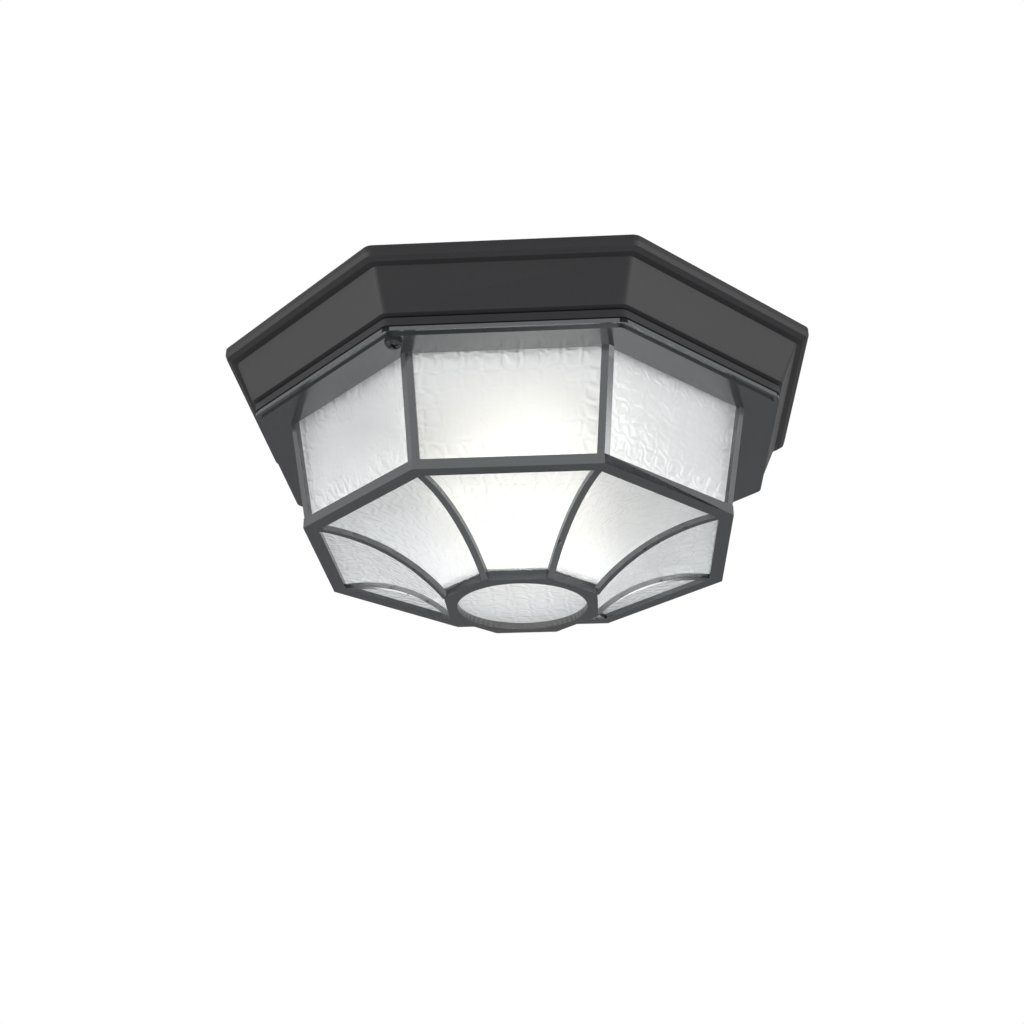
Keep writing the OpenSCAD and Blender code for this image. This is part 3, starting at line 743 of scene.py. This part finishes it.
class LANTERN_OT_lamps(bpy.types.Operator):
    """Make the two lit bulbs and their threaded caps"""

    bl_idname = "lantern.lamps"
    bl_label = "Lamps"

    def execute(self, context):
        sizes, colours = context.scene.lantern_sizes, context.scene.lantern_colours
        glow = lamp_glass(colours)
        cap_metal = drawn_metal("lamp_cap_metal", (0.74, 0.74, 0.75), (0.22, 0.34))
        for side, axis in (("left", 1), ("right", -1)):
            self.bulb(side, axis, glow)
            self.cap(side, axis, sizes, cap_metal)
        insulator = plain_coat("lamp_insulator", (0.02, 0.02, 0.022), (0.12, 0.2), 0.1, 0.05)
        repaint(insulator, "left_lamp_eyelet", "right_lamp_eyelet")
        return {"FINISHED"}

    def bulb(self, side, axis, glow):
        """Pear-shaped bulb: a neck that widens along a smooth step into a ball.

        The places along it follow a cosine, so that they crowd at both ends.
        """
        low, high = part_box(f"{side}_bulb")
        length = high[0] - low[0]
        ball = 0.5 * (high[2] - low[2])
        neck = 12.2 * MM
        shoulder = 1.05
        centre = length - ball
        s = np.linspace(0, 1, 96)
        along = length * (1 - np.cos(math.pi * s)) / 2
        round_part = np.sqrt(np.clip(ball**2 - (along - centre) ** 2, 0, None))
        rise = np.clip(along / centre, 0, 1)
        swell = neck + (ball - neck) * (rise**2 * (3 - 2 * rise)) ** shoulder
        radius = np.where(along < centre, np.maximum(np.minimum(swell, ball), neck), round_part)
        radius[0] = radius[-1] = 0.0
        along = np.insert(along, 1, 0.0)
        radius = np.insert(radius, 1, neck)
        put_lathe(
            f"{side}_frosted_bulb", along, radius, 96, axis, glow, f"{side}_lamp",
            f"{side}_bulb",
        )

    def cap(self, side, axis, sizes, metal):
        """Threaded cap: a cylinder whose radius follows a cosine of the place along it less the turn.

        The thread fades out over a plain band at both ends.
        """
        low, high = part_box(f"{side}_lamp_cap")
        length = high[0] - low[0]
        crest = 0.5 * (high[2] - low[2])
        plain = 2.2 * MM
        turned_in = 0.6 * MM
        threaded = np.linspace(0.15 * MM, length - 0.05 * MM, 150)
        along = np.concatenate([[0.0, 0.0], threaded, [length, length]])
        radius = np.full_like(along, crest)
        radius[0] = radius[-1] = 0.0
        radius[1] = crest - turned_in

        def thread(place, turn):
            inside = np.clip(np.minimum(place, length - place) / plain - 0.35, 0, 1)
            fall = 0.5 - 0.5 * np.cos(TAU * place / sizes.thread_pitch - turn)
            return -sizes.thread_depth * fall * inside

        put_lathe(
            f"{side}_threaded_cap", along, radius, 72, axis, metal, f"{side}_lamp",
            f"{side}_lamp_cap", thread,
        )


class LANTERN_OT_cage(bpy.types.Operator):
    """Coat the cage and its small parts"""

    bl_idname = "lantern.cage"
    bl_label = "Cage"

    def execute(self, context):
        colours = context.scene.lantern_colours
        repaint(cage_coat(colours), "cage")
        soft_edges("cage", context.scene.lantern_sizes.edge_round)
        repaint(zinc_plate(colours), "pane_clips", "clip_screws")
        return {"FINISHED"}


class LANTERN_OT_side_panes(bpy.types.Operator):
    """Make the eight rippled side panes"""

    bl_idname = "lantern.side_panes"
    bl_label = "Side panes"

    def execute(self, context):
        sizes, colours = context.scene.lantern_sizes, context.scene.lantern_colours
        glass = rippled_glass(colours)
        for k in range(SIDES):
            side_pane_piece(k, sizes, glass)
        return {"FINISHED"}


class LANTERN_OT_bowl_panes(bpy.types.Operator):
    """Make the eight rippled bowl panes"""

    bl_idname = "lantern.bowl_panes"
    bl_label = "Bowl panes"

    def execute(self, context):
        sizes, colours = context.scene.lantern_sizes, context.scene.lantern_colours
        glass = rippled_glass(colours)
        for k in range(SIDES):
            bowl_pane_piece(k, sizes, glass)
        return {"FINISHED"}


class LANTERN_OT_bottom_pane(bpy.types.Operator):
    """Make the rippled round pane in the bottom ring"""

    bl_idname = "lantern.bottom_pane"
    bl_label = "Bottom pane"

    def execute(self, context):
        sizes, colours = context.scene.lantern_sizes, context.scene.lantern_colours
        bottom_pane_piece(sizes, rippled_glass(colours))
        return {"FINISHED"}


class LANTERN_OT_cage_screws(bpy.types.Operator):
    """Finish the two cage screws and their washers"""

    bl_idname = "lantern.cage_screws"
    bl_label = "Cage screws"

    def execute(self, context):
        black = plain_coat("black_oxide", (0.05, 0.05, 0.055), (0.28, 0.4), 0.2, 0.2, Metallic=0.7)
        repaint(black, "front_cage_screw", "rear_cage_screw")
        rubber = plain_coat("washer_rubber", (0.015, 0.015, 0.015), (0.6, 0.8), 0.2, 0.2)
        repaint(rubber, "front_screw_washer", "rear_screw_washer")
        return {"FINISHED"}


def placed(side, up, aim, place):
    """Matrix of a light or camera at a place, looking along aim."""
    return Matrix([[side[i], up[i], -aim[i], place[i]] for i in range(3)] + [[0, 0, 0, 1]])


class LANTERN_OT_stage(bpy.types.Operator):
    """Set up the floor, the white backdrop, the soft lights and the camera"""

    bl_idname = "lantern.stage"
    bl_label = "Studio"

    def execute(self, context):
        scene = context.scene
        self.floor(scene)
        self.world(scene)
        self.lights(scene)
        self.camera(scene)
        scene.view_settings.view_transform = "Standard"
        return {"FINISHED"}

    def floor(self, scene):
        """Grey square far below the lantern."""
        half = 6.0
        drop = -scene.lantern_sizes.floor_drop
        corners = [(-half, -half, drop), (half, -half, drop), (half, half, drop), (-half, half, drop)]
        mesh = bpy.data.meshes.new("studio_floor")
        mesh.from_pydata(corners, [], [(0, 1, 2, 3)])
        material = plain_coat("studio_floor", scene.lantern_colours.floor, (0.8, 0.9), 0.01, 0.0)
        mesh.materials.append(material)
        floor = bpy.data.objects.new("studio_floor", mesh)
        scene.collection.objects.link(floor)

    def world(self, scene):
        """White seen directly and through glass, a light grey in gloss, and a dimmer grey as a light."""
        gloss_white = 0.35
        world = bpy.data.worlds.new("studio_backdrop")
        world.use_nodes = True
        nodes, links = world.node_tree.nodes, world.node_tree.links
        nodes.clear()
        path = nodes.new("ShaderNodeLightPath")
        rays = path.outputs
        seen = math_node(nodes, links, "MAXIMUM", rays["Is Camera Ray"], rays["Is Transmission Ray"])
        gloss = math_node(nodes, links, "MULTIPLY", rays["Is Glossy Ray"], gloss_white)
        seen = math_node(nodes, links, "MAXIMUM", seen, gloss)
        mix = nodes.new("ShaderNodeMix")
        mix.data_type = "RGBA"
        mix.inputs["A"].default_value = (0.34, 0.34, 0.35, 1)
        mix.inputs["B"].default_value = (1, 1, 1, 1)
        links.new(seen, mix.inputs["Factor"])
        background = nodes.new("ShaderNodeBackground")
        links.new(mix.outputs["Result"], background.inputs["Color"])
        output = nodes.new("ShaderNodeOutputWorld")
        links.new(background.outputs["Background"], output.inputs["Surface"])
        scene.world = world

    def lights(self, scene):
        """Soft boxes: one at each side a little in front, one high behind, and a weak one low in front."""
        middle = (0, 0, -0.06)
        for name, place, size, watts in (
            ("left_softbox", (-1.5, -0.7, -0.25), 1.2, 16),
            ("right_softbox", (1.5, -0.7, -0.25), 1.2, 16),
            ("rear_softbox", (0.0, 1.8, 0.3), 1.2, 8),
            ("low_softbox", (0.3, -1.2, -1.1), 0.8, 3),
        ):
            light = bpy.data.lights.new(name, "AREA")
            light.shape = "SQUARE"
            light.size = size
            light.energy = watts
            softbox = bpy.data.objects.new(name, light)
            aim = np.array(middle) - np.array(place)
            aim = aim / np.linalg.norm(aim)
            side = np.cross(aim, (0, 0, 1))
            side = side / np.linalg.norm(side)
            up = np.cross(side, aim)
            softbox.matrix_world = placed(side, up, aim, place)
            scene.collection.objects.link(softbox)

    def camera(self, scene):
        """Below and in front, looking up.

        The place and turn put the octagon's corners where the photo has them.
        """
        sensor = 36
        photo_width = 1024
        focal_pixels = 1464
        azimuth, distance, height = math.radians(3.244), 0.69148, -0.37913
        yaw, pitch, roll = math.radians(-0.416), math.radians(24.253), math.radians(-0.233)
        toward = azimuth - yaw
        level = np.array([-math.sin(toward), math.cos(toward), 0])
        look = level * math.cos(pitch) + np.array([0, 0, math.sin(pitch)])
        right = np.array([level[1], -level[0], 0])
        up = np.cross(right, look)
        tilted = math.cos(roll) * right + math.sin(roll) * up
        top = -math.sin(roll) * right + math.cos(roll) * up
        place = (distance * math.sin(azimuth), -distance * math.cos(azimuth), height)
        lens = bpy.data.cameras.new("photo_camera")
        lens.sensor_width = sensor
        lens.lens = sensor * focal_pixels / photo_width
        lens.clip_start = 0.01
        camera = bpy.data.objects.new("photo_camera", lens)
        camera.matrix_world = placed(tilted, top, look, place)
        scene.collection.objects.link(camera)
        scene.camera = camera


class LANTERN_PT_pieces(bpy.types.Panel):
    """Buttons for every group of pieces"""

    bl_label = "Porch Ceiling Lantern"
    bl_space_type = "VIEW_3D"
    bl_region_type = "UI"
    bl_category = "Lantern"

    def draw(self, context):
        for operator in OPERATORS:
            self.layout.operator(operator.bl_idname)
        for settings in (context.scene.lantern_sizes, context.scene.lantern_colours):
            box = self.layout.box()
            for name in settings.bl_rna.properties.keys():
                if name not in ("rna_type", "name"):
                    box.prop(settings, name)


OPERATORS = (
    LANTERN_OT_canopy,
    LANTERN_OT_mounting,
    LANTERN_OT_reflector,
    LANTERN_OT_sockets,
    LANTERN_OT_lamps,
    LANTERN_OT_cage,
    LANTERN_OT_side_panes,
    LANTERN_OT_bowl_panes,
    LANTERN_OT_bottom_pane,
    LANTERN_OT_cage_screws,
    LANTERN_OT_stage,
)
CLASSES = (LanternSizes, LanternColours, *OPERATORS, LANTERN_PT_pieces)


def register():
    for item in CLASSES:
        bpy.utils.register_class(item)
    bpy.types.Scene.lantern_sizes = bpy.props.PointerProperty(type=LanternSizes)
    bpy.types.Scene.lantern_colours = bpy.props.PointerProperty(type=LanternColours)


def unregister():
    del bpy.types.Scene.lantern_colours
    del bpy.types.Scene.lantern_sizes
    for item in reversed(CLASSES):
        bpy.utils.unregister_class(item)


def main():
    register()
    for operator in OPERATORS:
        group, name = operator.bl_idname.split(".")
        getattr(getattr(bpy.ops, group), name)()


if __name__ == "__main__":
    main()
